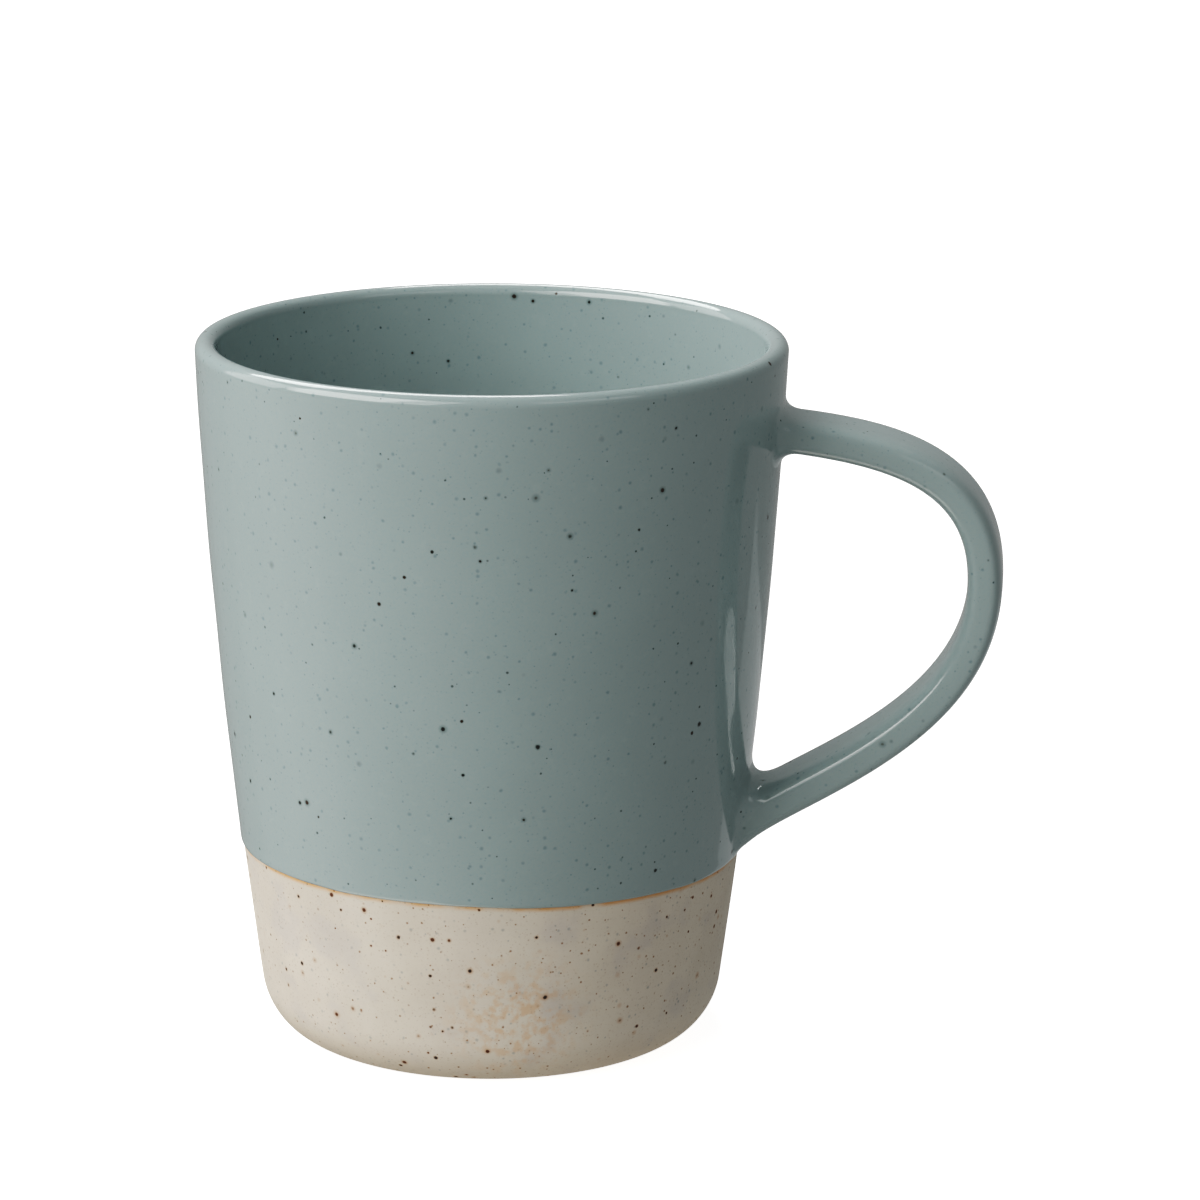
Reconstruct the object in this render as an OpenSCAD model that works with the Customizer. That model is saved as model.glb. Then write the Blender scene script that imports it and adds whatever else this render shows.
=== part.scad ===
// Coffee mug in glazed stoneware: a thrown cup with a pulled strap handle joined on with slip.
// Sizes are in millimetres. The mug stands on the plane Z = 0 with its axis on Z,
// and its handle points along +X.

/* [Cup] */
// Overall height with the glaze on
mug_h = 95; // [85:1:110]
// Outside diameter over the glazed lip
lip_d = 79; // [76:1:90]
// Outside diameter that the glazed wall would have at the base without its rounded corner
base_d = 60.7; // [58:0.1:66]
// How far the wall bows out of a straight taper at mid height
wall_bow = 1.2; // [0:0.1:2]
// Thickness of the clay wall just under the lip
lip_t = 2.4; // [2:0.1:3.2]
// Thickness of the clay wall near the floor
wall_low_t = 4.3; // [3.4:0.1:5]
// Extra thickness of the clay wall at mid height
wall_mid_extra = 0.3; // [0:0.1:0.6]
// Height of the rounded crown of the clay lip
lip_crown = 1.2; // [0.8:0.1:2]
// Height of the clay floor inside the cup
floor_z = 5.5; // [4.5:0.1:8]
// Radius of the inside corner between floor and wall
floor_corner_r = 9; // [5:0.5:12]

/* [Foot] */
// Height of the rounded corner between wall and foot
foot_corner_h = 6.8; // [4:0.1:9]
// How far the rounded corner pulls the foot in
foot_corner_w = 5.3; // [3:0.1:7]
// Width of the flat ring that the mug rests on
foot_ring_w = 3.8; // [3:0.1:6]
// Depth of the hollow inside the foot ring
foot_hollow_h = 1.2; // [0.6:0.1:2]

/* [Handle] */
// Width of the glazed handle
handle_w = 13.2; // [11:0.1:15]
// Thickness of the glazed handle at its upper root
handle_top_t = 4.3; // [4:0.1:5]
// Thickness of the glazed handle at its furthest point
handle_mid_t = 4.9; // [4.4:0.1:5.5]
// Thickness of the glazed handle at its lower root
handle_low_t = 5.2; // [4.6:0.1:5.8]
// Squareness of the handle's cross-section, where 2 is an ellipse
handle_square = 3.4; // [2.2:0.1:5]
// Distance from the mug's axis to the handle's centreline at its furthest point
handle_reach = 66; // [62:0.5:70]
// Height of that furthest point
handle_reach_z = 64; // [60:1:68]
// Height at which the centreline meets the wall above
upper_root_z = 83.5; // [80:0.5:85]
// Height at which the centreline meets the wall below
lower_root_z = 29.7; // [29:0.1:34]
// Slope of the centreline as it leaves the upper root
upper_root_angle = -5.4; // [-12:0.1:5]
// Slope of the centreline as it leaves the lower root
lower_root_angle = 41; // [35:1:46]
// Length of the straight pull out of the upper root
upper_pull = 14.5; // [10:0.5:18]
// Length of the straight pull above the furthest point
knuckle_pull = 15.2; // [12:0.1:17]
// Length of the straight pull below the furthest point
palm_pull = 20.2; // [16:0.1:24]
// Length of the straight pull out of the lower root
lower_pull = 9.4; // [7:0.1:14]

/* [Joints] */
// Thickness of the slip between the handle's end and the wall
slip_t = 0.4; // [0.3:0.1:0.8]
// Radius of the fillet of slip around each root
fillet_r = 2.2; // [1.5:0.1:3]
// Share of that fillet left on the underside of the lower root
underside_share = 0.25; // [0.2:0.05:0.5]
// Length of handle that each joint covers
joint_run = 5.5; // [5:0.1:7]

/* [Glaze] */
// Thickness of the fired glaze
glaze_t = 0.25; // [0.2:0.05:0.3]
// Height of the glaze's lower edge on the mug's axis
glaze_line_z = 25.9; // [24:0.1:26]
// Tilt of that edge from the level
glaze_tilt = 1.2; // [0:0.1:2]
// Compass direction, from the handle, in which the edge is lowest
glaze_low_side = 44; // [0:1:90]

/* [Quality] */
// Number of facets around the cup
$fn = 144; // [96:8:192]
// Number of points around the handle's cross-section
section_points = 32; // [24:4:40]
// Number of sections along the handle
handle_sections = 40; // [32:1:46]

/* [Hidden] */

stoneware_colour = [0.78, 0.73, 0.66];
slip_colour = [0.70, 0.65, 0.58];
glaze_colour = [0.53, 0.60, 0.60];
inner_glaze_colour = [0.48, 0.56, 0.56];

// The clay's own sizes, under the glaze
clay_top = mug_h - glaze_t;
clay_lip_r = lip_d / 2 - glaze_t;
clay_base_r = base_d / 2 - glaze_t;
crown_z = clay_top - lip_crown;
wall_steps = 14;
corner_step = 11.25;
lip_step = 15;

// The handle's centreline starts and ends this far inside the wall, where the cup trims it
run_in = 5;
run_in_steps = 6;

function unit(v) = v / norm(v);
function mix(a, b, t) = a + (b - a) * t;
function heading(angle) = [cos(angle), sin(angle)];
function bow(u) = 4 * u * (1 - u);

// ---- Cup profile: radius at a height ----

// Outer clay radius without the foot's rounded corner
function taper_r(z) =
    mix(clay_base_r, clay_lip_r, z / crown_z) + wall_bow * bow(z / crown_z);

// Outer clay radius, with the corner as a quarter ellipse
function outer_r(z) =
    let (rise = max(0, 1 - z / foot_corner_h))
    taper_r(z) - foot_corner_w * (1 - sqrt(1 - rise * rise));

// Inner clay radius above the floor's corner
function inner_r(z) =
    taper_r(z) - mix(wall_low_t, lip_t, z / crown_z) - wall_mid_extra * bow(z / crown_z);

// A point of the outer wall at an angle round the foot's corner, 0 at the foot, 90 at its top
function foot_corner_point(angle) =
    let (z = foot_corner_h * (1 - cos(angle)))
    [outer_r(z), z];

function outer_wall(from_z, to_z, grow) =
    [for (i = [0 : wall_steps])
        let (z = mix(from_z, to_z, i / wall_steps))
        [outer_r(z) + grow, z]];

// The crown of the lip from one angle to another, 0 outside, 90 on top, 180 inside
function crown(from_angle, to_angle, grow) =
    let (outside = outer_r(crown_z),
         inside = inner_r(crown_z),
         step = sign(to_angle - from_angle) * lip_step)
    [for (angle = [from_angle : step : to_angle])
        [(outside + inside) / 2 + ((outside - inside) / 2 + grow) * cos(angle),
         crown_z + (lip_crown + grow) * sin(angle)]];

// The inner wall from the lip down to the middle of the floor, moved into the cup by grow
function inner_wall(grow) =
    let (top = crown_z, bottom = floor_z + floor_corner_r)
    concat(
        [for (i = [1 : wall_steps])
            let (z = mix(top, bottom, i / wall_steps))
            [inner_r(z) - grow, z]],
        [for (angle = [90 - corner_step : -corner_step : 0])
            let (z = floor_z + floor_corner_r * (1 - cos(angle)))
            [inner_r(z) - floor_corner_r * (1 - sin(angle)) - grow * sin(angle),
             z + grow * cos(angle)]],
        [[0, floor_z + grow]]);

function reversed(list) = [for (i = [len(list) - 1 : -1 : 0]) list[i]];

// ---- Handle: centreline and cross-sections ----

upper_root = [taper_r(upper_root_z), upper_root_z];
furthest = [handle_reach, handle_reach_z];
lower_root = [taper_r(lower_root_z), lower_root_z];

// The two curves of the centreline, in the plane of X and Z
upper_curve = [
    upper_root,
    upper_root + upper_pull * heading(upper_root_angle),
    furthest + [0, knuckle_pull],
    furthest];
lower_curve = [
    furthest,
    furthest - [0, palm_pull],
    lower_root + lower_pull * heading(lower_root_angle),
    lower_root];

function bezier(p, t) =
    pow(1 - t, 3) * p[0] + 3 * t * pow(1 - t, 2) * p[1]
    + 3 * t * t * (1 - t) * p[2] + pow(t, 3) * p[3];

// t runs from 0 at the upper root through 1 at the furthest point to 2 at the lower root
function centreline(t) = t <= 1 ? bezier(upper_curve, t) : bezier(lower_curve, t - 1);

function thickness(t) =
    t <= 1 ? mix(handle_top_t, handle_mid_t, t) : mix(handle_mid_t, handle_low_t, t - 1);

// Each station is [place, t]; the stations crowd towards the roots, where the fillets are
stations = concat(
    [for (i = [run_in_steps : -1 : 1])
        [upper_root - run_in * i / run_in_steps * heading(upper_root_angle), 0]],
    [for (i = [0 : handle_sections])
        let (t = 1 - cos(180 * i / handle_sections))
        [centreline(t), t]],
    [for (i = [1 : run_in_steps])
        [lower_root - run_in * i / run_in_steps * heading(lower_root_angle), 2]]);
last_station = len(stations) - 1;

// The stations at which the joints end
upper_joint_end = max([for (i = [0 : last_station])
    if (norm(stations[i][0] - upper_root) < joint_run) i]);
lower_joint_end = min([for (i = [0 : last_station])
    if (norm(stations[i][0] - lower_root) < joint_run) i]);

function station_heading(i) =
    unit(stations[min(i + 1, last_station)][0] - stations[max(i - 1, 0)][0]);

// A point of the superellipse that the cross-section follows, with half axes of 1
function superellipse(angle) =
    [sign(cos(angle)) * pow(abs(cos(angle)), 2 / handle_square),
     sign(sin(angle)) * pow(abs(sin(angle)), 2 / handle_square)];

// The fillet's radius: full size all round, but small on the underside of the lower root
function fillet_at(t, outward) =
    t > 1 && outward > 0 ? fillet_r * mix(1, underside_share, outward) : fillet_r;

// How far the fillet stands off the handle's surface at a clearance from the wall
function flare(clearance, radius) =
    let (closing = min(1, max(0, 1 - clearance / radius)))
    radius * (1 - sqrt(1 - closing * closing));

// The cross-section at station i: the clay strap, grown by the fillet if it has one, and by grow
function section(i, with_fillet, grow) =
    let (t = stations[i][1],
         place = stations[i][0],
         along = station_heading(i),
         outward = [-along.y, along.x],
         half_w = handle_w / 2 - glaze_t,
         half_t = thickness(t) / 2 - glaze_t)
    [for (k = [0 : section_points - 1])
        let (s = superellipse(360 * k / section_points),
             base = place + outward * half_t * s.y,
             clearance = norm([base.x, half_w * s.x]) - taper_r(base.y),
             fillet = with_fillet ? flare(clearance, fillet_at(t, s.y)) : 0,
             out = outward * (half_t + fillet + grow) * s.y,
             side = (half_w + fillet + grow) * s.x)
        [place.x + out.x, side, place.y + out.y]];

// ---- Shared solids ----

// Everything inside the cup's outer wall, moved out by grow; it trims what meets the wall
module wall_envelope(grow) {
    rotate_extrude()
        polygon(concat([[0, 0]], outer_wall(0, mug_h, grow), [[0, mug_h]]));
}

// Triangles between rings of points; flip turns them to face the other way
function ring_faces(first, rings, flip) =
    let (n = section_points)
    [for (i = [0 : rings - 2], k = [0 : n - 1])
        let (a = first + i * n + k,
             b = first + i * n + (k + 1) % n)
        each flip ? [[a, b, b + n], [a, b + n, a + n]] : [[a, a + n, b + n], [a, b + n, b]]];

// A solid through a list of sections
module loft(sections) {
    n = section_points;
    last = (len(sections) - 1) * n;
    polyhedron(
        [for (ring = sections) each ring],
        concat(
            ring_faces(0, len(sections), false),
            [[for (k = [0 : n - 1]) k]],
            [[for (k = [n - 1 : -1 : 0]) last + k]]));
}

// A sleeve between two lists of sections
module sleeve(outer_sections, inner_sections) {
    n = section_points;
    inner_first = len(outer_sections) * n;
    outer_last = inner_first - n;
    inner_last = inner_first + (len(inner_sections) - 1) * n;
    polyhedron(
        [for (ring = concat(outer_sections, inner_sections)) each ring],
        concat(
            ring_faces(0, len(outer_sections), false),
            ring_faces(inner_first, len(inner_sections), true),
            [for (k = [0 : n - 1])
                let (next = (k + 1) % n)
                each [[k, next, inner_first + next],
                      [k, inner_first + next, inner_first + k]]],
            [for (k = [0 : n - 1])
                let (next = (k + 1) % n)
                each [[inner_last + k, inner_last + next, outer_last + next],
                      [inner_last + k, outer_last + next, outer_last + k]]]));
}

// The clay strap from inside the wall to inside the wall
module strap() {
    loft([for (i = [0 : last_station]) section(i, false, 0)]);
}

// The feathered edge of the slip where a joint ends on the handle
feather_t = 0.12;

// A root of the strap with its fillet, between two stations
module filleted_root(first, last) {
    loft([for (i = [first : last]) section(i, true, feather_t)]);
}

module slip_joint(first, last) {
    difference() {
        filleted_root(first, last);
        wall_envelope(0);
        handle();
    }
}

// ---- Sub-parts ----

// The thrown cup: foot ring, wall, lip and floor
module cup_body() {
    foot_r = outer_r(0);
    hollow_r = foot_r - foot_ring_w;
    color(stoneware_colour)
        rotate_extrude()
            polygon(concat(
                [[0, foot_hollow_h],
                 [hollow_r - foot_hollow_h, foot_hollow_h],
                 [hollow_r, 0]],
                [for (angle = [0 : corner_step : 90 - corner_step]) foot_corner_point(angle)],
                outer_wall(foot_corner_h, crown_z, 0),
                crown(lip_step, 180, 0),
                inner_wall(0)));
}

// The strap handle, cut back from the wall to leave room for the slip
module handle() {
    color(stoneware_colour)
        difference() {
            strap();
            wall_envelope(slip_t);
        }
}

// Slip that bonds the handle's upper end to the wall
module upper_slip_joint() {
    color(slip_colour)
        slip_joint(0, upper_joint_end);
}

// Slip that bonds the handle's lower end to the wall
module lower_slip_joint() {
    color(slip_colour)
        slip_joint(lower_joint_end, last_station);
}

// The glaze on the outside, from its tilted lower edge to the top of the lip
module outer_glaze() {
    below = 2;
    reach = 2 * lip_d;
    start_z = glaze_line_z - below;
    color(glaze_colour)
        difference() {
            rotate_extrude()
                polygon(concat(
                    outer_wall(start_z, crown_z, glaze_t),
                    crown(lip_step, 90, glaze_t),
                    crown(90, lip_step, 0),
                    reversed(outer_wall(start_z, crown_z, 0))));
            translate([0, 0, glaze_line_z])
                rotate([0, glaze_tilt, glaze_low_side])
                    translate([-reach / 2, -reach / 2, -reach])
                        cube(reach);
            filleted_root(0, upper_joint_end);
            filleted_root(lower_joint_end, last_station);
        }
}

// The glaze on the inside, from the top of the lip to the floor
module inner_glaze() {
    color(inner_glaze_colour)
        rotate_extrude()
            polygon(concat(
                crown(180, 90, 0),
                crown(90, 180, glaze_t),
                inner_wall(glaze_t),
                reversed(inner_wall(0))));
}

// The glaze over the handle and both joints
module handle_glaze() {
    color(glaze_colour)
        difference() {
            sleeve(
                [for (i = [0 : last_station]) section(i, true, glaze_t)],
                concat(
                    [for (i = [0 : upper_joint_end]) section(i, true, feather_t)],
                    [for (i = [upper_joint_end : lower_joint_end]) section(i, false, 0)],
                    [for (i = [lower_joint_end : last_station]) section(i, true, feather_t)]));
            wall_envelope(glaze_t);
        }
}

cup_body();
handle();
upper_slip_joint();
lower_slip_joint();
outer_glaze();
inner_glaze();
handle_glaze();
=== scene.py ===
import math

import bpy
from mathutils import Matrix, Vector, noise


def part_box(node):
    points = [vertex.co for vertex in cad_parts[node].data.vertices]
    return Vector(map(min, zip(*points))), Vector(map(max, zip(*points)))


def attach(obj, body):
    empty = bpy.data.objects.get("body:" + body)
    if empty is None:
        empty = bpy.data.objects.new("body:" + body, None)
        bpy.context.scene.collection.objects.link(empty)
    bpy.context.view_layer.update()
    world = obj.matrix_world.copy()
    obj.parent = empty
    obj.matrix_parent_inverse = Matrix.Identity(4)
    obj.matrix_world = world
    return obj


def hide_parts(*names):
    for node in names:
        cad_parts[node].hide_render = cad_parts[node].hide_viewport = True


# A glazed stoneware mug with a strap handle. Shapes are worked out in millimetres in the
# frame's own axes: Z up the mug's axis, +X towards the handle, the foot on Z = 0.

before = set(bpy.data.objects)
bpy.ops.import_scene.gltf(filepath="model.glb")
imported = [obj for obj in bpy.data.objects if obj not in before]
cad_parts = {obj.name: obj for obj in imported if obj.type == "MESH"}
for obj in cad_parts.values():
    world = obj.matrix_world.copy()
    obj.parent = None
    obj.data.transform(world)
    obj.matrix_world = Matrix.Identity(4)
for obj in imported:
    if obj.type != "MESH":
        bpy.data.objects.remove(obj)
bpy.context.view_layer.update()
MM = 0.001

# ---- Sizes, from the frame where it holds them ----

outer_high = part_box("outer_glaze")[1]
MUG_H = outer_high.z / MM
LIP_R = outer_high.y / MM
HANDLE_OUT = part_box("handle_glaze")[1].x / MM

GLAZE_T = 0.25
BASE_R = 30.55
WALL_BOW = 1.2
LIP_T = 2.4
WALL_LOW_T = 4.3
WALL_MID_EXTRA = 0.3
LIP_CROWN = 1.2
FLOOR_Z = 5.5
FLOOR_CORNER = 9.0
FOOT_CORNER_H = 6.8
FOOT_CORNER_W = 5.3
FOOT_RING_W = 3.8
FOOT_HOLLOW_H = 1.2

CLAY_LIP_R = LIP_R - GLAZE_T
CLAY_BASE_R = BASE_R - GLAZE_T
CLAY_TOP = MUG_H - GLAZE_T
CROWN_Z = CLAY_TOP - LIP_CROWN

# The glaze's lower edge: its height on the axis, and how it tilts towards the handle and back
EDGE_Z = 25.9
EDGE_TILT = math.tan(math.radians(1.2))
EDGE_LOW_SIDE = math.radians(44)

# The handle's centreline and section
HANDLE_W = 12.6
HANDLE_TOP_T = 4.5
HANDLE_MID_T = 4.7
HANDLE_LOW_T = 5.3
HANDLE_SQUARE = 4.0
HANDLE_CLEARANCE = 0.01
HANDLE_REACH = HANDLE_OUT - HANDLE_MID_T / 2 - HANDLE_CLEARANCE
HANDLE_REACH_Z = 64.0
UPPER_ROOT_Z = 83.5
LOWER_ROOT_Z = 29.7
UPPER_ANGLE = math.radians(-5.4)
LOWER_ANGLE = math.radians(41)
UPPER_PULL = 14.5
KNUCKLE_PULL = 15.2
PALM_PULL = 20.2
LOWER_PULL = 9.4

# How far the fillets run, from the corner between handle and wall: (up the handle, out on the wall)
FILLET_TOP = (2.3, 2.0)
FILLET_BELOW = (3.0, 3.0)
FILLET_SIDE = (2.3, 2.1)
FILLET_CROTCH = (5.9, 5.4)
FILLET_UNDER = (1.3, 0.9)

# The slip collars lie this far under the glaze's surface, and are this thick
SLIP_DEPTH = 0.31
SLIP_T = 0.5


def mix(a, b, t):
    return a + (b - a) * t


def bow(u):
    return 4 * u * (1 - u)


def smooth(t):
    t = min(1.0, max(0.0, t))
    return t * t * (3 - 2 * t)


# ---- The cup's profile ----


def taper_r(z):
    """Outer clay radius without the foot's rounded corner."""
    u = z / CROWN_Z
    return mix(CLAY_BASE_R, CLAY_LIP_R, u) + WALL_BOW * bow(u)


def outer_r(z):
    """Outer clay radius."""
    rise = max(0.0, 1 - z / FOOT_CORNER_H)
    return taper_r(z) - FOOT_CORNER_W * (1 - math.sqrt(1 - rise * rise))


def inner_r(z):
    """Inner clay radius above the floor's corner."""
    u = z / CROWN_Z
    return taper_r(z) - mix(WALL_LOW_T, LIP_T, u) - WALL_MID_EXTRA * bow(u)


def wobble(theta, z):
    """The wall's unevenness from throwing and firing. It leans inward as it nears the lip."""
    u = z / MUG_H
    lip = 0.06 * u * math.sin(2 * theta + 0.7)
    rings = 0.02 * math.sin(z / 3.1 + 1.5 * math.sin(theta + 0.5))
    patches = 0.05 * noise.noise(Vector((2.2 * math.cos(theta), 2.2 * math.sin(theta), z / 17)))
    return lip + rings + patches - 0.13 * smooth(u)


def edge_z(theta):
    """Height of the glaze's lower edge."""
    tilt = -EDGE_TILT * taper_r(EDGE_Z) * math.cos(theta - EDGE_LOW_SIDE)
    ripple = 0.10 * math.sin(3 * theta + 0.4) + 0.06 * math.sin(8 * theta + 2.0)
    nibble = 0.05 * noise.noise(Vector((9 * math.cos(theta), 9 * math.sin(theta), 3.3)))
    return EDGE_Z + tilt + ripple + nibble


def glazed_r(theta, z):
    """Radius of the glaze's outer surface on the wall."""
    return outer_r(z) + GLAZE_T + wobble(theta, z)


# ---- Mesh building ----


def ring_mesh(name, rings, closed=False, first_pole=None, last_pole=None):
    """A mesh of quads through rings of points; poles close its ends, closed joins last to first."""
    count = len(rings[0])
    points = [point for ring in rings for point in ring]
    faces = []
    steps = len(rings) if closed else len(rings) - 1
    for i in range(steps):
        a, b = i * count, (i + 1) % len(rings) * count
        for k in range(count):
            n = (k + 1) % count
            faces.append((a + k, a + n, b + n, b + k))
    if first_pole:
        points.append(first_pole)
        faces += [(len(points) - 1, (k + 1) % count, k) for k in range(count)]
    if last_pole:
        points.append(last_pole)
        a = (len(rings) - 1) * count
        faces += [(len(points) - 1, a + k, a + (k + 1) % count) for k in range(count)]
    mesh = bpy.data.meshes.new(name)
    mesh.from_pydata([Vector(p) * MM for p in points], [], faces)
    mesh.validate()
    mesh.shade_smooth()
    piece = bpy.data.objects.new(name, mesh)
    bpy.context.scene.collection.objects.link(piece)
    return piece


def sharpen_rings(piece, count, rings):
    """Marks the edges along some rings sharp, so that shading stops there."""
    mesh = piece.data
    wanted = set()
    for ring in rings:
        for k in range(count):
            wanted.add(frozenset((ring * count + k, ring * count + (k + 1) % count)))
    for edge in mesh.edges:
        if frozenset(edge.vertices) in wanted:
            edge.use_edge_sharp = True


def around(profile_at, segments):
    """Turns a function from an angle to a list of (radius, height) into rings of points."""
    columns = []
    for k in range(segments):
        theta = 2 * math.pi * k / segments
        turn = (math.cos(theta), math.sin(theta))
        columns.append([(r * turn[0], r * turn[1], z) for r, z in profile_at(theta)])
    return [list(ring) for ring in zip(*columns)]


def place(piece, slot, *nodes):
    """Puts a finished piece on the mug's one body, in place of its CAD nodes."""
    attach(piece, "root")
    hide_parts(*nodes)


# ---- The cup ----

SEGMENTS = 320

# The outer and inner glaze meet inside, this far below the lip's crown, in this many steps
SEAM_DROP = 4.5
SEAM_STEPS = 7

# Heights over the glaze's lower edge at which its rolled edge is drawn. The coat above them, and
# over the lip's crown, is drawn in this many steps
EDGE_RISES = (0.0, 0.02, 0.06, 0.11, 0.17, 0.24, 0.32, 0.45, 0.65, 0.9, 1.3, 1.8, 2.5)
COAT_STEPS = 110
COAT_CROWN_STEPS = 40

# The back of a glaze coat stands this far off the clay, so that the two never share a face. It
# stands less far off on the outside of the wall
BACK_GAP = 0.02
OUTSIDE_BACK_GAP = 0.01


def crown_points(theta, start, stop, steps, grow):
    """The lip's crown between two angles, 0 outside, 90 on top, 180 inside."""
    wall = wobble(theta, CROWN_Z)
    outside, inside = outer_r(CROWN_Z) + wall, inner_r(CROWN_Z) + wall
    dip = 0.04 * (1 + math.sin(theta * 2 + 2.2)) / 2
    points = []
    for i in range(steps + 1):
        angle = math.radians(mix(start, stop, i / steps))
        r = (outside + inside) / 2 + ((outside - inside) / 2 + grow) * math.cos(angle)
        points.append((r, CROWN_Z + (LIP_CROWN + grow - dip) * math.sin(angle)))
    return points


def inner_points(theta, start_z, grow, steps):
    """The inside of the cup from a height down to near the middle of the floor."""
    corner_top = FLOOR_Z + FLOOR_CORNER
    points = []
    for i in range(steps + 1):
        z = mix(start_z, corner_top, i / steps)
        points.append((inner_r(z) + wobble(theta, z) - grow, z))
    for i in range(1, 19):
        angle = math.radians(90 - 5 * i)
        z = FLOOR_Z + FLOOR_CORNER * (1 - math.cos(angle))
        r = inner_r(z) - FLOOR_CORNER * (1 - math.sin(angle)) + wobble(theta, z) * math.sin(angle)
        points.append((r - grow * math.sin(angle), z + grow * math.cos(angle)))
    edge = points[-1][0]
    for i in range(1, 12):
        r = edge * (1 - i / 12)
        points.append((r, FLOOR_Z + grow + 0.03 * math.sin(r / 1.1)))
    return points


def foot_points():
    """The underside from near the axis out to the foot ring's outer corner."""
    foot_r = outer_r(0)
    hollow_r = foot_r - FOOT_RING_W
    points = []
    for i in range(1, 25):
        r = hollow_r * i / 25 - 0.2
        points.append((r, FOOT_HOLLOW_H + 0.05 * math.sin(r * 2.4)))
    for i in range(9):
        t = i / 8
        points.append((hollow_r - 0.9 + 1.3 * t, FOOT_HOLLOW_H * (1 - smooth(t))))
    points.append((foot_r - 1.0, 0.0))
    return points


def clay_profile(theta):
    points = foot_points()
    for i in range(22):
        angle = math.radians(90 * i / 22)
        z = FOOT_CORNER_H * (1 - math.cos(angle))
        ease = smooth(z / FOOT_CORNER_H)
        points.append((outer_r(z) + wobble(theta, z) * ease, z))
    for i in range(90):
        z = mix(FOOT_CORNER_H, CROWN_Z, i / 90)
        points.append((outer_r(z) + wobble(theta, z), z))
    points += crown_points(theta, 0, 180, 12, 0)
    points += inner_points(theta, CROWN_Z - 1, 0, 40)
    return points


def make_clay_cup():
    piece = ring_mesh(
        "stoneware_cup",
        around(clay_profile, SEGMENTS),
        first_pole=(0, 0, FOOT_HOLLOW_H),
        last_pole=(0, 0, FLOOR_Z))
    gap = piece.data.attributes.new("below_glaze", "FLOAT", "POINT")
    for i, vertex in enumerate(piece.data.vertices):
        theta = math.atan2(vertex.co.y, vertex.co.x)
        gap.data[i].value = edge_z(theta) - vertex.co.z / MM
    place(piece, "stoneware", "cup_body")
    return piece


def coat_thickness(rise):
    """Thickness of the outer glaze at a height above its edge: rolled edge, then a faint bead."""
    roll = min(1.0, rise / 0.3)
    bead = 0.04 * math.exp(-((rise - 0.7) / 0.6) ** 2)
    return GLAZE_T * math.sqrt(1 - (1 - roll) ** 2) + bead * roll


def coat_profile(theta):
    """The coat's section: up the outside, over the crown, and back down behind itself."""
    low = edge_z(theta)
    points = []
    for rise in EDGE_RISES:
        z = low + rise
        points.append((outer_r(z) + wobble(theta, z) + coat_thickness(rise), z))
    start = low + EDGE_RISES[-1]
    for i in range(1, COAT_STEPS):
        z = mix(start, CROWN_Z, i / COAT_STEPS)
        points.append((glazed_r(theta, z), z))
    points += crown_points(theta, 0, 180, COAT_CROWN_STEPS, GLAZE_T)
    for i in range(1, SEAM_STEPS + 1):
        z = CROWN_Z - SEAM_DROP * i / SEAM_STEPS
        points.append((inner_r(z) + wobble(theta, z) - GLAZE_T, z))
    for i in range(SEAM_STEPS, 0, -1):
        z = CROWN_Z - SEAM_DROP * i / SEAM_STEPS
        points.append((inner_r(z) + wobble(theta, z) - BACK_GAP, z))
    points += crown_points(theta, 180, 0, 12, BACK_GAP)
    for i in range(1, 24):
        z = mix(CROWN_Z, low, i / 24)
        points.append((outer_r(z) + wobble(theta, z) + OUTSIDE_BACK_GAP, z))
    return points


def make_outer_coat():
    rings = around(coat_profile, SEGMENTS)
    piece = ring_mesh("outside_glaze_coat", rings, closed=True)
    seam = len(EDGE_RISES) + COAT_STEPS - 1 + COAT_CROWN_STEPS + 1 + SEAM_STEPS - 1
    sharpen_rings(piece, SEGMENTS, (0, seam, seam + 1))
    place(piece, "glaze", "outer_glaze")
    return piece


def liner_profile(theta):
    """The liner's section: up its hidden face from the floor, then down the face that shows."""
    seam_z = CROWN_Z - SEAM_DROP
    shown = inner_points(theta, seam_z, GLAZE_T, 80)
    hidden = inner_points(theta, seam_z, BACK_GAP, 80)
    return hidden[::-1] + shown


def make_liner():
    rings = around(liner_profile, SEGMENTS)
    piece = ring_mesh(
        "inside_glaze_liner",
        rings,
        first_pole=(0, 0, FLOOR_Z + BACK_GAP),
        last_pole=(0, 0, FLOOR_Z + GLAZE_T))
    half = len(rings) // 2
    sharpen_rings(piece, SEGMENTS, (half - 1, half))
    place(piece, "glaze", "inner_glaze")
    return piece


# ---- The handle ----

HANDLE_POINTS = 96
HANDLE_RINGS = 150
STRAP_RINGS = 120
FILLET_RINGS = 14
LINING_RINGS = 6
ARC_SAMPLES = 600

# The handle's end is looked for within this distance of where its centreline meets the wall
RUN_IN = 6.0

# A fillet ends just proud of the wall. Beyond its end a skirt slips under the wall, then dives:
# (how far past the fillet's end, how deep) for the skirt's edge and for the dive's
PROUD = 0.004
SKIRT = (0.50, 0.02)
DIVE = (0.60, 0.25)

# Everything that is rolled up to the wall keeps at least this far above the glaze's lower edge
EDGE_MARGIN = 0.12

# How far the strap and the slip reach into the wall
SLIP_REACH = 1.4


def direction(angle):
    return Vector((math.cos(angle), math.sin(angle)))


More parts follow.
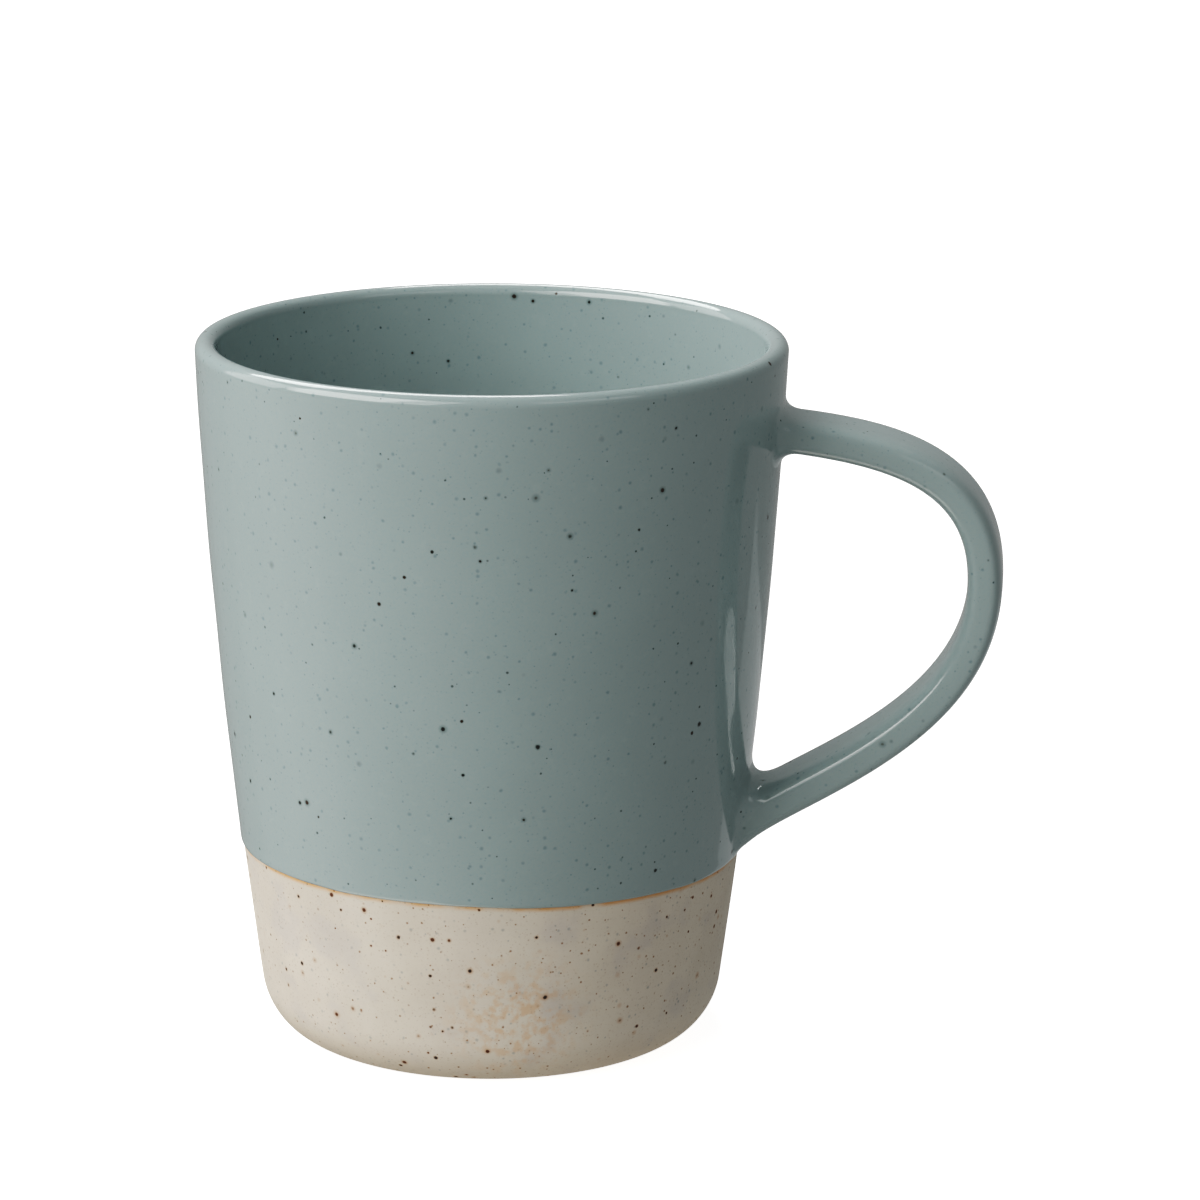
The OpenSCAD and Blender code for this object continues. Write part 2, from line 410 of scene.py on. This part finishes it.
UPPER_ROOT = Vector((taper_r(UPPER_ROOT_Z), UPPER_ROOT_Z))
FURTHEST = Vector((HANDLE_REACH, HANDLE_REACH_Z))
LOWER_ROOT = Vector((taper_r(LOWER_ROOT_Z), LOWER_ROOT_Z))
UPPER_CURVE = (
    UPPER_ROOT,
    UPPER_ROOT + UPPER_PULL * direction(UPPER_ANGLE),
    FURTHEST + Vector((0, KNUCKLE_PULL)),
    FURTHEST)
LOWER_CURVE = (
    FURTHEST,
    FURTHEST - Vector((0, PALM_PULL)),
    LOWER_ROOT + LOWER_PULL * direction(LOWER_ANGLE),
    LOWER_ROOT)


def bezier(p, t):
    s = 1 - t
    return p[0] * s ** 3 + p[1] * 3 * t * s * s + p[2] * 3 * t * t * s + p[3] * t ** 3


def thickness(t):
    if t <= 1:
        return mix(HANDLE_TOP_T, HANDLE_MID_T, t)
    return mix(HANDLE_MID_T, HANDLE_LOW_T, t - 1)


def measured_centreline():
    """Places along the centreline with their distance from the upper root and their t."""
    places = []
    for i in range(ARC_SAMPLES + 1):
        t = 2 * i / ARC_SAMPLES
        places.append((bezier(UPPER_CURVE, t) if t <= 1 else bezier(LOWER_CURVE, t - 1), t))
    walked = [0.0]
    for (a, _), (b, _) in zip(places, places[1:]):
        walked.append(walked[-1] + (b - a).length)
    return [p for p, _ in places], [t for _, t in places], walked


CENTRES, CENTRE_T, WALKED = measured_centreline()
HANDLE_LENGTH = WALKED[-1]


def centre_at(s):
    """(place, heading, t) at a distance along the centreline, which runs on straight past its ends."""
    if s <= 0:
        along = direction(UPPER_ANGLE)
        return UPPER_ROOT + along * s, along, 0.0
    if s >= HANDLE_LENGTH:
        along = -direction(LOWER_ANGLE)
        return LOWER_ROOT + along * (s - HANDLE_LENGTH), along, 2.0
    low, high = 0, ARC_SAMPLES
    while high - low > 1:
        middle = (low + high) // 2
        if WALKED[middle] <= s:
            low = middle
        else:
            high = middle
    part = (s - WALKED[low]) / (WALKED[high] - WALKED[low])
    before, after = CENTRES[max(low - 1, 0)], CENTRES[min(high + 1, ARC_SAMPLES)]
    t = mix(CENTRE_T[low], CENTRE_T[high], part)
    return CENTRES[low].lerp(CENTRES[high], part), (after - before).normalized(), t


def superellipse(angle):
    c, s = math.cos(angle), math.sin(angle)
    power = 2 / HANDLE_SQUARE
    return (math.copysign(abs(c) ** power, c), math.copysign(abs(s) ** power, s))


SECTION = [superellipse(2 * math.pi * k / HANDLE_POINTS) for k in range(HANDLE_POINTS)]


def handle_point(s, k, depth=0.0):
    """A point of the handle, or of what lies some depth under its glaze, on rail k."""
    middle, along, t = centre_at(s)
    outward = Vector((-along.y, along.x))
    side, out = SECTION[k]
    pulled = 0.10 * noise.noise(Vector((s / 14, 3.1, 0.7)))
    at = middle + outward * ((thickness(t) / 2 - depth) * out)
    return Vector((at.x, (HANDLE_W / 2 + pulled - depth) * side, at.y))


def clearance(point, depth=0.0):
    """How far a point stands off the glazed wall, or off what lies some depth under it."""
    theta = math.atan2(point.y, point.x)
    return math.hypot(point.x, point.y) - glazed_r(theta, point.z) + depth


def crossing(k, inside, outside, depth):
    """The distance along the handle at which rail k passes through the wall."""
    for _ in range(30):
        middle = (inside + outside) / 2
        if clearance(handle_point(middle, k, depth), depth) < 0:
            inside = middle
        else:
            outside = middle
    return (inside + outside) / 2


def unroll(point, depth):
    """(distance round the wall, height, stand-off) of a point near the wall."""
    theta = math.atan2(point.y, point.x)
    return Vector((theta * LIP_R, point.z, clearance(point, depth)))


def roll_up(flat, depth):
    """The point that unroll would turn into flat, kept above the glaze's lower edge."""
    theta = flat.x / LIP_R
    z = max(flat.y, edge_z(theta) + EDGE_MARGIN)
    r = glazed_r(theta, z) - depth + flat.z
    return Vector((r * math.cos(theta), r * math.sin(theta), z))


def fillet_size(out, outer_face, inner_face):
    """The fillet's two lengths where the section's place runs from -1, inner face, to 1, outer."""
    face = outer_face if out > 0 else inner_face
    share = abs(out)
    return mix(FILLET_SIDE[0], face[0], share), mix(FILLET_SIDE[1], face[1], share)


def upper_fillet(out):
    """At the upper root the handle's outer face is its top."""
    return fillet_size(out, FILLET_TOP, FILLET_BELOW)


def lower_fillet(out):
    """At the lower root the handle's outer face is its underside, and the inner face the crotch."""
    return fillet_size(out, FILLET_UNDER, FILLET_CROTCH)


class Root:
    """One end of the handle where it meets the wall. sign is +1 where the handle leaves it.

    rings runs from under the wall's surface up the fillet, and starts holds, for each rail, the
    distance along the handle at which the fillet ends. A rail is one place on the section.
    """

    def __init__(self, sign, fillet, depth=0.0):
        end = 0 if sign > 0 else HANDLE_LENGTH
        rails = range(HANDLE_POINTS)
        crossings = [crossing(k, end - sign * RUN_IN, end + sign * RUN_IN, depth) for k in rails]
        sizes = [fillet(SECTION[k][1]) for k in rails]
        self.starts = [crossings[k] + sign * sizes[k][0] for k in rails]
        feet = [unroll(handle_point(crossings[k], k, depth), depth) for k in rails]
        middle = sum(feet, Vector()) / HANDLE_POINTS
        columns = []
        for k in rails:
            before, after = feet[k - 1], feet[(k + 1) % HANDLE_POINTS]
            normal = Vector((after.y - before.y, before.x - after.x, 0)).normalized()
            if normal.dot(feet[k] - middle) < 0:
                normal = -normal
            corner = Vector((feet[k].x, feet[k].y, 0))
            on_wall = corner + normal * sizes[k][1]
            on_handle = unroll(handle_point(self.starts[k], k, depth), depth)
            column = [on_wall + normal * past - Vector((0, 0, deep)) for past, deep in (DIVE, SKIRT)]
            for i in range(FILLET_RINGS):
                t = i / FILLET_RINGS
                at = on_wall * (1 - t) ** 2 + corner * 2 * t * (1 - t) + on_handle * t * t
                at.z += PROUD
                column.append(at)
            columns.append([roll_up(flat, depth) for flat in column])
        self.rings = [list(ring) for ring in zip(*columns)]


def make_handle():
    """The handle's glaze: a tube from one root's rings to the other's, given its thickness inward."""
    upper = Root(1, upper_fillet)
    lower = Root(-1, lower_fillet)
    free_rings = []
    for i in range(HANDLE_RINGS + 1):
        part = i / HANDLE_RINGS
        free_rings.append([
            handle_point(mix(upper.starts[k], lower.starts[k], part), k)
            for k in range(HANDLE_POINTS)])
    rings = upper.rings + free_rings + lower.rings[::-1]
    piece = ring_mesh("glazed_handle", rings)
    skirt_edges = (1, len(rings) - 2)
    sharpen_rings(piece, HANDLE_POINTS, skirt_edges)
    shell = piece.modifiers.new("glaze_thickness", "SOLIDIFY")
    shell.thickness = GLAZE_T * MM
    shell.offset = -1
    shell.use_even_offset = False
    place(piece, "glaze", "handle_glaze")
    return piece


def make_strap():
    """The clay strap under the handle's glaze, from inside the wall to inside the wall."""
    depth = GLAZE_T + BACK_GAP
    run = HANDLE_LENGTH + 2 * SLIP_REACH
    rings = []
    for i in range(STRAP_RINGS + 1):
        s = run * i / STRAP_RINGS - SLIP_REACH
        rings.append([handle_point(s, k, depth) for k in range(HANDLE_POINTS)])
    first, last = centre_at(-SLIP_REACH)[0], centre_at(run - SLIP_REACH)[0]
    piece = ring_mesh(
        "stoneware_strap",
        rings,
        first_pole=(first.x, 0, first.y),
        last_pole=(last.x, 0, last.y))
    sharpen_rings(piece, HANDLE_POINTS, (0, STRAP_RINGS))
    place(piece, "stoneware", "handle")
    return piece


def make_slip_collar(name, sign, fillet, node):
    """The slip that fills the corner under the glaze: a closed ring round the handle's end."""
    outer = Root(sign, fillet, SLIP_DEPTH)
    ends = [handle_point(outer.starts[k], k, SLIP_DEPTH) for k in range(HANDLE_POINTS)]
    inmost = -SLIP_REACH if sign > 0 else HANDLE_LENGTH + SLIP_REACH
    lining = []
    for i in range(LINING_RINGS + 1):
        lining.append([
            handle_point(mix(outer.starts[k], inmost, i / LINING_RINGS), k, SLIP_DEPTH + SLIP_T)
            for k in range(HANDLE_POINTS)])
    rings = outer.rings + [ends] + lining
    if sign < 0:
        rings = [ring[::-1] for ring in rings]
    piece = ring_mesh(name, rings, closed=True)
    place(piece, "slip", node)
    return piece


# ---- Node helpers ----


class Graph:
    """A material's node tree, with short calls for the nodes used here."""

    def __init__(self, name):
        self.material = bpy.data.materials.new(name)
        self.material.use_nodes = True
        self.nodes = self.material.node_tree.nodes
        self.links = self.material.node_tree.links
        self.nodes.clear()
        self.shader = self.nodes.new("ShaderNodeBsdfPrincipled")
        output = self.nodes.new("ShaderNodeOutputMaterial")
        self.links.new(self.shader.outputs["BSDF"], output.inputs["Surface"])
        place_mm = self.nodes.new("ShaderNodeVectorMath")
        place_mm.operation = "SCALE"
        place_mm.inputs["Scale"].default_value = 1 / MM
        where = self.nodes.new("ShaderNodeTexCoord")
        self.links.new(where.outputs["Object"], place_mm.inputs[0])
        self.place_mm = place_mm.outputs[0]

    def feed(self, socket, value):
        """Sets a socket to a number, a colour or another node's output."""
        if isinstance(value, bpy.types.NodeSocket):
            self.links.new(value, socket)
        elif isinstance(value, tuple) and len(value) == 3 and socket.type == "RGBA":
            socket.default_value = (*value, 1)
        else:
            socket.default_value = value

    def math(self, operation, a, b=0.0, clamp=False):
        node = self.nodes.new("ShaderNodeMath")
        node.operation = operation
        node.use_clamp = clamp
        self.feed(node.inputs[0], a)
        self.feed(node.inputs[1], b)
        return node.outputs[0]

    def vector(self, operation, a, b):
        node = self.nodes.new("ShaderNodeVectorMath")
        node.operation = operation
        self.feed(node.inputs[0], a)
        self.feed(node.inputs[1], b)
        return node.outputs["Value" if operation == "DISTANCE" else "Vector"]

    def step(self, value, low, high, to_low=0.0, to_high=1.0):
        """A smooth step from to_low at low to to_high at high."""
        node = self.nodes.new("ShaderNodeMapRange")
        node.interpolation_type = "SMOOTHSTEP"
        for name, given in (("Value", value), ("From Min", low), ("From Max", high),
                            ("To Min", to_low), ("To Max", to_high)):
            self.feed(node.inputs[name], given)
        return node.outputs["Result"]

    def blend(self, factor, a, b, kind="MIX"):
        node = self.nodes.new("ShaderNodeMix")
        node.data_type = "RGBA"
        node.blend_type = kind
        sockets = [s for s in node.inputs if s.enabled]
        self.feed(sockets[0], factor)
        self.feed(sockets[1], a)
        self.feed(sockets[2], b)
        return [s for s in node.outputs if s.enabled][0]

    def noise(self, size_mm, detail=2.0, where=None, roughness=0.5):
        node = self.nodes.new("ShaderNodeTexNoise")
        node.inputs["Scale"].default_value = 1 / size_mm
        node.inputs["Detail"].default_value = detail
        node.inputs["Roughness"].default_value = roughness
        self.feed(node.inputs["Vector"], where or self.place_mm)
        return node.outputs["Fac"]

    def shifted(self, offset, where=None):
        return self.vector("ADD", where or self.place_mm, offset)

    def jittered(self, size_mm, amount_mm):
        """The place with its edges roughened, so that specks are not perfect circles."""
        node = self.nodes.new("ShaderNodeTexNoise")
        node.inputs["Scale"].default_value = 1 / size_mm
        node.inputs["Detail"].default_value = 2.0
        self.feed(node.inputs["Vector"], self.place_mm)
        centred = self.vector("SUBTRACT", node.outputs["Color"], (0.5, 0.5, 0.5))
        moved = self.nodes.new("ShaderNodeVectorMath")
        moved.operation = "SCALE"
        self.feed(moved.inputs[0], centred)
        moved.inputs["Scale"].default_value = amount_mm
        return self.vector("ADD", self.place_mm, moved.outputs[0])

    def specks(self, spacing_mm, offset, where=None):
        """(distance in mm to the nearest speck's middle, that speck's random colour)."""
        node = self.nodes.new("ShaderNodeTexVoronoi")
        node.inputs["Scale"].default_value = 1 / spacing_mm
        self.feed(node.inputs["Vector"], self.shifted(offset, where))
        distance = self.math("MULTIPLY", node.outputs["Distance"], spacing_mm)
        return distance, node.outputs["Color"]

    def channels(self, colour):
        node = self.nodes.new("ShaderNodeSeparateColor")
        self.feed(node.inputs[0], colour)
        return node.outputs[0], node.outputs[1], node.outputs[2]

    def bump(self, height, strength, distance_mm, normal=None):
        node = self.nodes.new("ShaderNodeBump")
        node.inputs["Strength"].default_value = strength
        node.inputs["Distance"].default_value = distance_mm * MM
        self.feed(node.inputs["Height"], height)
        if normal:
            self.feed(node.inputs["Normal"], normal)
        return node.outputs["Normal"]


def own_radius(g, random_number, smallest, largest):
    """A speck's radius in mm from its random number; small ones are the commoner."""
    skewed = g.math("POWER", random_number, 1.6)
    return g.math("ADD", g.math("MULTIPLY", skewed, largest - smallest), smallest)


def speck_layer(g, colour, where, spacing, offset, radii, softness, strength, tint):
    """Lays specks over a colour. Each has its own radius in mm between the two in radii."""
    distance, random_colour = g.specks(spacing, offset, where)
    own = own_radius(g, g.channels(random_colour)[0], *radii)
    inside = g.math("MULTIPLY", own, 1 - softness)
    mask = g.step(distance, inside, own, 1.0, 0.0)
    return g.blend(g.math("MULTIPLY", mask, strength), colour, tint)


def iron_specks(g, colour, where, spacing, offset, radii, halo, black, brown):
    """The largest specks: a near-black or brown middle in a soft halo. halo is (size, strength, tint)."""
    distance, random_colour = g.specks(spacing, offset, where)
    size, warmth, spread = g.channels(random_colour)
    own = own_radius(g, size, *radii)
    halo_size, halo_strength, halo_tint = halo
    edge = g.math("MULTIPLY", own, g.step(spread, 0.0, 1.0, 1.15, halo_size))
    glow = g.step(distance, g.math("MULTIPLY", own, 0.6), edge, 1.0, 0.0)
    middle = g.step(distance, g.math("MULTIPLY", own, 0.45), own, 1.0, 0.0)
    colour = g.blend(g.math("MULTIPLY", glow, halo_strength), colour, halo_tint)
    iron = g.blend(g.step(warmth, 0.45, 0.75), black, brown)
    return g.blend(g.math("MULTIPLY", middle, 0.95), colour, iron)


# ---- Materials ----

GLAZE_BODY = (0.335, 0.402, 0.402)
GLAZE_DEEP = (0.27, 0.38, 0.41)
GLAZE_PALE = (0.52, 0.56, 0.55)
GLAZE_FAINT = (0.09, 0.17, 0.18)
GLAZE_DARK = (0.050, 0.075, 0.072)
GLAZE_IRON_HALO = (0.06, 0.10, 0.085)
GLAZE_IRON_BLACK = (0.010, 0.012, 0.010)
GLAZE_IRON_BROWN = (0.040, 0.018, 0.009)

CLAY_DARKER = (0.635, 0.580, 0.500)
CLAY_LIGHTER = (0.690, 0.635, 0.550)
CLAY_DEEP = (0.20, 0.23, 0.25)
CLAY_RUST = (0.24, 0.11, 0.045)
CLAY_MAUVE = (0.50, 0.47, 0.47)
CLAY_SANDED = (0.68, 0.65, 0.59)
CLAY_GRAIN = (0.42, 0.37, 0.31)
CLAY_FOOT = (0.50, 0.42, 0.32)
CLAY_BLUSH = (0.62, 0.33, 0.14)
CLAY_FLASHING = (0.66, 0.37, 0.17)
CLAY_IRON_HALO = (0.42, 0.20, 0.08)
CLAY_IRON_BLACK = (0.035, 0.022, 0.018)
CLAY_IRON_BROWN = (0.10, 0.035, 0.014)

# The middle of the orange blush on the bare clay, in mm
BLUSH_MIDDLE = (7.0, -30.0, 10.5)

SLIP_DARKER = (0.44, 0.38, 0.31)
SLIP_LIGHTER = (0.52, 0.46, 0.38)


def make_glaze_material():
    g = Graph("speckled_glaze")
    where = g.jittered(0.45, 0.14)
    cloud = g.noise(16, 3)
    grain = g.noise(0.35, 2)
    fine = g.noise(1.6, 4)

    lighter = tuple(c * 1.01 for c in GLAZE_BODY)
    darker = tuple(c * 0.99 for c in GLAZE_BODY)
    colour = g.blend(g.step(cloud, 0.35, 0.65), darker, lighter)
    colour = g.blend(g.math("MULTIPLY", g.step(grain, 0.40, 0.72), 0.20), colour, GLAZE_DEEP)
    colour = g.blend(g.math("MULTIPLY", g.step(fine, 0.55, 0.75), 0.06), colour, GLAZE_PALE)

    # Faint blue-green specks deep in the glaze, then darker ones, then the iron
    colour = speck_layer(g, colour, where, 0.66, (3.0, 1.0, 7.0), (0.08, 0.22), 0.9, 0.20, GLAZE_FAINT)
    colour = speck_layer(g, colour, where, 1.34, (13.0, 21.0, 4.0), (0.12, 0.42), 0.9, 0.42, GLAZE_FAINT)
    colour = speck_layer(g, colour, where, 2.35, (31.0, 9.0, 2.0), (0.13, 0.28), 0.7, 0.80, GLAZE_DARK)
    halo = (2.1, 0.40, GLAZE_IRON_HALO)
    colour = iron_specks(g, colour, where, 3.9, (5.0, 17.0, 23.0), (0.20, 0.42), halo,
                         GLAZE_IRON_BLACK, GLAZE_IRON_BROWN)

    g.feed(g.shader.inputs["Base Color"], colour)
    roughness = g.step(g.noise(5.0, 3), 0.3, 0.7, 0.05, 0.09)
    g.feed(g.shader.inputs["Roughness"], roughness)
    g.shader.inputs["IOR"].default_value = 1.70
    ripple = g.bump(g.noise(7.0, 2), 0.10, 0.05)
    pits = g.bump(g.noise(0.8, 2), 0.03, 0.02, ripple)
    g.feed(g.shader.inputs["Normal"], pits)
    return g.material


def clay_tones(g, sanding, grain):
    """The clay's colour with its clouds, its sanding marks and its grain."""
    cloud = g.noise(11, 3)
    mauve_cloud = g.noise(7, 3, g.shifted((40.0, 3.0, 11.0)))
    colour = g.blend(g.step(cloud, 0.3, 0.7), CLAY_DARKER, CLAY_LIGHTER)
    mauve = g.math("MULTIPLY", g.step(mauve_cloud, 0.52, 0.70), 0.30)
    colour = g.blend(mauve, colour, CLAY_MAUVE)
    colour = g.blend(g.math("MULTIPLY", g.step(sanding, 0.45, 0.75), 0.16), colour, CLAY_SANDED)
    return g.blend(g.math("MULTIPLY", g.step(grain, 0.55, 0.75), 0.14), colour, CLAY_GRAIN)


def foot_tone_and_kiln_marks(g, colour):
    """Adds a darker, warmer tone towards the foot, then what the kiln left: an orange blush and a line
    along the glaze.
    """
    apart = g.nodes.new("ShaderNodeSeparateXYZ")
    g.feed(apart.inputs[0], g.place_mm)
    # The clay turns darker and warmer towards the bottom, over its lowest 7 mm
    foot = g.step(apart.outputs["Z"], 0.0, 7.0, 0.55, 0.0)
    colour = g.blend(foot, colour, CLAY_FOOT)

    reach = g.vector("DISTANCE", g.place_mm, BLUSH_MIDDLE)
    broken = g.step(g.noise(1.3, 4), 0.42, 0.66)
    blush = g.math("MULTIPLY", g.step(reach, 2.0, 12.0, 0.42, 0.0), broken)
    colour = g.blend(blush, colour, CLAY_BLUSH)

    attribute = g.nodes.new("ShaderNodeAttribute")
    attribute.attribute_name = "below_glaze"
    patchy = g.step(g.noise(6, 2, g.shifted((9.0, 5.0, 1.0))), 0.36, 0.56, 0.25, 1.0)
    line = g.math("MULTIPLY", g.step(attribute.outputs["Fac"], 0.10, 0.75, 0.85, 0.0), patchy)
    return g.blend(line, colour, CLAY_FLASHING)


def clay_specks(g, colour):
    """Adds faint rust specks, blue-grey ones below the surface, darker rust ones, then the iron."""
    where = g.jittered(0.5, 0.16)
    colour = speck_layer(g, colour, where, 0.46, (6.0, 3.0, 9.0), (0.08, 0.20), 0.9, 0.22, CLAY_RUST)
    colour = speck_layer(g, colour, where, 1.20, (4.0, 44.0, 14.0), (0.12, 0.36), 0.9, 0.45, CLAY_DEEP)
    colour = speck_layer(g, colour, where, 1.12, (8.0, 2.0, 33.0), (0.11, 0.26), 0.7, 0.75, CLAY_RUST)
    halo = (2.0, 0.40, CLAY_IRON_HALO)
    return iron_specks(g, colour, where, 2.35, (15.0, 7.0, 3.0), (0.16, 0.42), halo,
                       CLAY_IRON_BLACK, CLAY_IRON_BROWN)


def make_clay_material():
    g = Graph("bare_stoneware")
    stretched = g.vector("MULTIPLY", g.place_mm, (0.35, 0.35, 2.4))
    sanding = g.noise(0.9, 3, stretched)
    grain = g.noise(0.4, 3)
    colour = clay_specks(g, foot_tone_and_kiln_marks(g, clay_tones(g, sanding, grain)))

    g.feed(g.shader.inputs["Base Color"], colour)
    g.feed(g.shader.inputs["Roughness"], g.step(grain, 0.3, 0.7, 0.62, 0.80))
    g.shader.inputs["IOR"].default_value = 1.45
    scratched = g.bump(sanding, 0.25, 0.05)
    sandy = g.bump(grain, 0.20, 0.04, scratched)
    g.feed(g.shader.inputs["Normal"], sandy)
    return g.material


def make_slip_material():
    g = Graph("fired_slip")
    wiped = g.noise(2.0, 3)
    colour = g.blend(g.step(wiped, 0.35, 0.65), SLIP_DARKER, SLIP_LIGHTER)
    g.feed(g.shader.inputs["Base Color"], colour)
    g.feed(g.shader.inputs["Roughness"], g.step(wiped, 0.3, 0.7, 0.70, 0.85))
    g.feed(g.shader.inputs["Normal"], g.bump(wiped, 0.3, 0.1))
    return g.material


def paint(piece, material):
    piece.data.materials.clear()
    piece.data.materials.append(material)


# ---- Stage, lights and camera ----

# Metres and radians. The camera looks at a point AIM_HEIGHT up and AIM_SIDE to the right.
CAMERA_AZIMUTH = math.radians(5.8)
CAMERA_ELEVATION = math.radians(14.45)
CAMERA_DISTANCE = 0.640
CAMERA_LENS = 142.7
CAMERA_ROLL = math.radians(0.39)
AIM_HEIGHT = 0.05894
AIM_SIDE = 0.01454

FLOOR_HALF = 6.0
FLOOR_DROP = 0.00005


def make_camera():
    data = bpy.data.cameras.new("camera")
    data.lens = CAMERA_LENS
    data.sensor_width = 36
    camera = bpy.data.objects.new("camera", data)
    bpy.context.scene.collection.objects.link(camera)
    a, e = CAMERA_AZIMUTH, CAMERA_ELEVATION
    back = Vector((math.sin(a) * math.cos(e), -math.cos(a) * math.cos(e), math.sin(e)))
    right = Vector((math.cos(a), math.sin(a), 0))
    aim = right * AIM_SIDE + Vector((0, 0, AIM_HEIGHT))
    camera.location = aim + back * CAMERA_DISTANCE
    level = (-back).to_track_quat("-Z", "Y").to_matrix()
    camera.rotation_euler = (level @ Matrix.Rotation(CAMERA_ROLL, 3, "Z")).to_euler()
    bpy.context.scene.camera = camera


def make_floor():
    """A plain pale floor, a hair under the mug, that the camera sees as an even white."""
    mesh = bpy.data.meshes.new("floor")
    corners = [(x * FLOOR_HALF, y * FLOOR_HALF, 0) for x, y in ((-1, -1), (1, -1), (1, 1), (-1, 1))]
    mesh.from_pydata(corners, [], [(0, 1, 2, 3)])
    floor = bpy.data.objects.new("floor", mesh)
    bpy.context.scene.collection.objects.link(floor)
    floor.location.z = -FLOOR_DROP
    g = Graph("floor")
    tone = g.noise(300, 2)
    g.feed(g.shader.inputs["Base Color"], g.blend(tone, (0.86, 0.86, 0.86), (0.88, 0.88, 0.88)))
    g.shader.inputs["Roughness"].default_value = 0.9
    g.shader.inputs["Specular IOR Level"].default_value = 0.0
    g.shader.inputs["Emission Color"].default_value = (1, 1, 1, 1)
    g.shader.inputs["Emission Strength"].default_value = 0.80
    paint(floor, g.material)
    floor.visible_glossy = False
    floor.visible_diffuse = False
    floor.visible_shadow = False


def soft_light(name, azimuth, elevation, distance, width, height, power, colour):
    """An area light facing the mug. Azimuth is measured from the camera's side, + to its right."""
    data = bpy.data.lights.new(name, "AREA")
    data.shape = "RECTANGLE"
    data.size = width
    data.size_y = height
    data.energy = power
    data.color = colour
    light = bpy.data.objects.new(name, data)
    bpy.context.scene.collection.objects.link(light)
    a = CAMERA_AZIMUTH + math.radians(azimuth)
    e = math.radians(elevation)
    target = Vector((0, 0, MUG_H * MM / 2))
    away = Vector((math.sin(a) * math.cos(e), -math.cos(a) * math.cos(e), math.sin(e)))
    light.location = target + away * distance
    light.rotation_euler = away.to_track_quat("Z", "Y").to_euler()
    light.visible_camera = False


def make_lights():
    """Soft lights from the left and from behind, with weaker ones for fill and for reflections."""
    soft_light("key", -61, 34, 1.2, 0.95, 0.95, 5.2, (1.0, 0.98, 0.95))
    soft_light("key_wide", -50, 34, 1.25, 1.35, 0.95, 5.0, (1.0, 0.98, 0.95))
    # A card of four widths laid over each other, so that its reflection fades out at the sides
    for width in (0.5, 0.8, 1.1, 1.4):
        name = "table_left_" + str(round(width * 10))
        soft_light(name, -85, -24, 0.9, width, 0.5, 0.16, (1.0, 0.93, 0.91))
    soft_light("behind", -155, 50, 1.2, 0.9, 0.45, 5.5, (1.0, 0.99, 0.97))
    soft_light("side", -104, 22, 1.3, 0.8, 0.8, 2.2, (1.0, 0.98, 0.96))
    soft_light("fill", 43, 42, 1.3, 0.85, 0.35, 0.5, (1.0, 0.99, 0.98))
    soft_light("back_card", 160, -27, 0.9, 0.95, 0.35, 0.13, (0.97, 0.99, 1.0))
    soft_light("table_bounce", -55, -60, 0.9, 0.8, 0.8, 1.9, (1.0, 0.93, 0.85))


def make_world():
    world = bpy.data.worlds.new("studio")
    bpy.context.scene.world = world
    world.use_nodes = True
    background = world.node_tree.nodes["Background"]
    background.inputs["Color"].default_value = (0.96, 0.97, 0.96, 1)
    background.inputs["Strength"].default_value = 0.24


# How the picture's tones are spread: (brightness in the picture, contrast there). Contrast is how
# much faster the picture brightens than the scene does, both in logs. White is 1 in both.
CONTRAST = (
    (1.0, 0.6),
    (0.6, 0.75),
    (0.44, 0.9),
    (0.3, 1.25),
    (0.2, 1.5),
    (0.1, 1.7),
    (0.05, 1.75),
    (0.02, 1.6))


def tone_points():
    """(light in the scene, light in the picture) at each level of CONTRAST below white.

    Contrast runs straight from one level to the next against the log of the brightness.
    """
    light = 1.0
    points = []
    for (above, contrast_above), (shown, contrast) in zip(CONTRAST, CONTRAST[1:]):
        power = math.log(contrast / contrast_above) / (contrast - contrast_above)
        light *= (shown / above) ** power
        points.append((light, shown))
    return points[::-1]


def set_tone():
    view = bpy.context.scene.view_settings
    view.view_transform = "Standard"
    view.look = "None"
    view.use_curve_mapping = True
    tone = view.curve_mapping.curves[3]
    for light, shown in tone_points():
        tone.points.new(light, shown)
    view.curve_mapping.update()


def main():
    make_camera()
    clay = make_clay_material()
    glaze = make_glaze_material()
    slip = make_slip_material()
    paint(make_clay_cup(), clay)
    paint(make_outer_coat(), glaze)
    paint(make_liner(), glaze)
    paint(make_handle(), glaze)
    paint(make_strap(), clay)
    paint(make_slip_collar("upper_slip_collar", 1, upper_fillet, "upper_slip_joint"), slip)
    paint(make_slip_collar("lower_slip_collar", -1, lower_fillet, "lower_slip_joint"), slip)
    make_floor()
    make_lights()
    make_world()
    set_tone()


main()
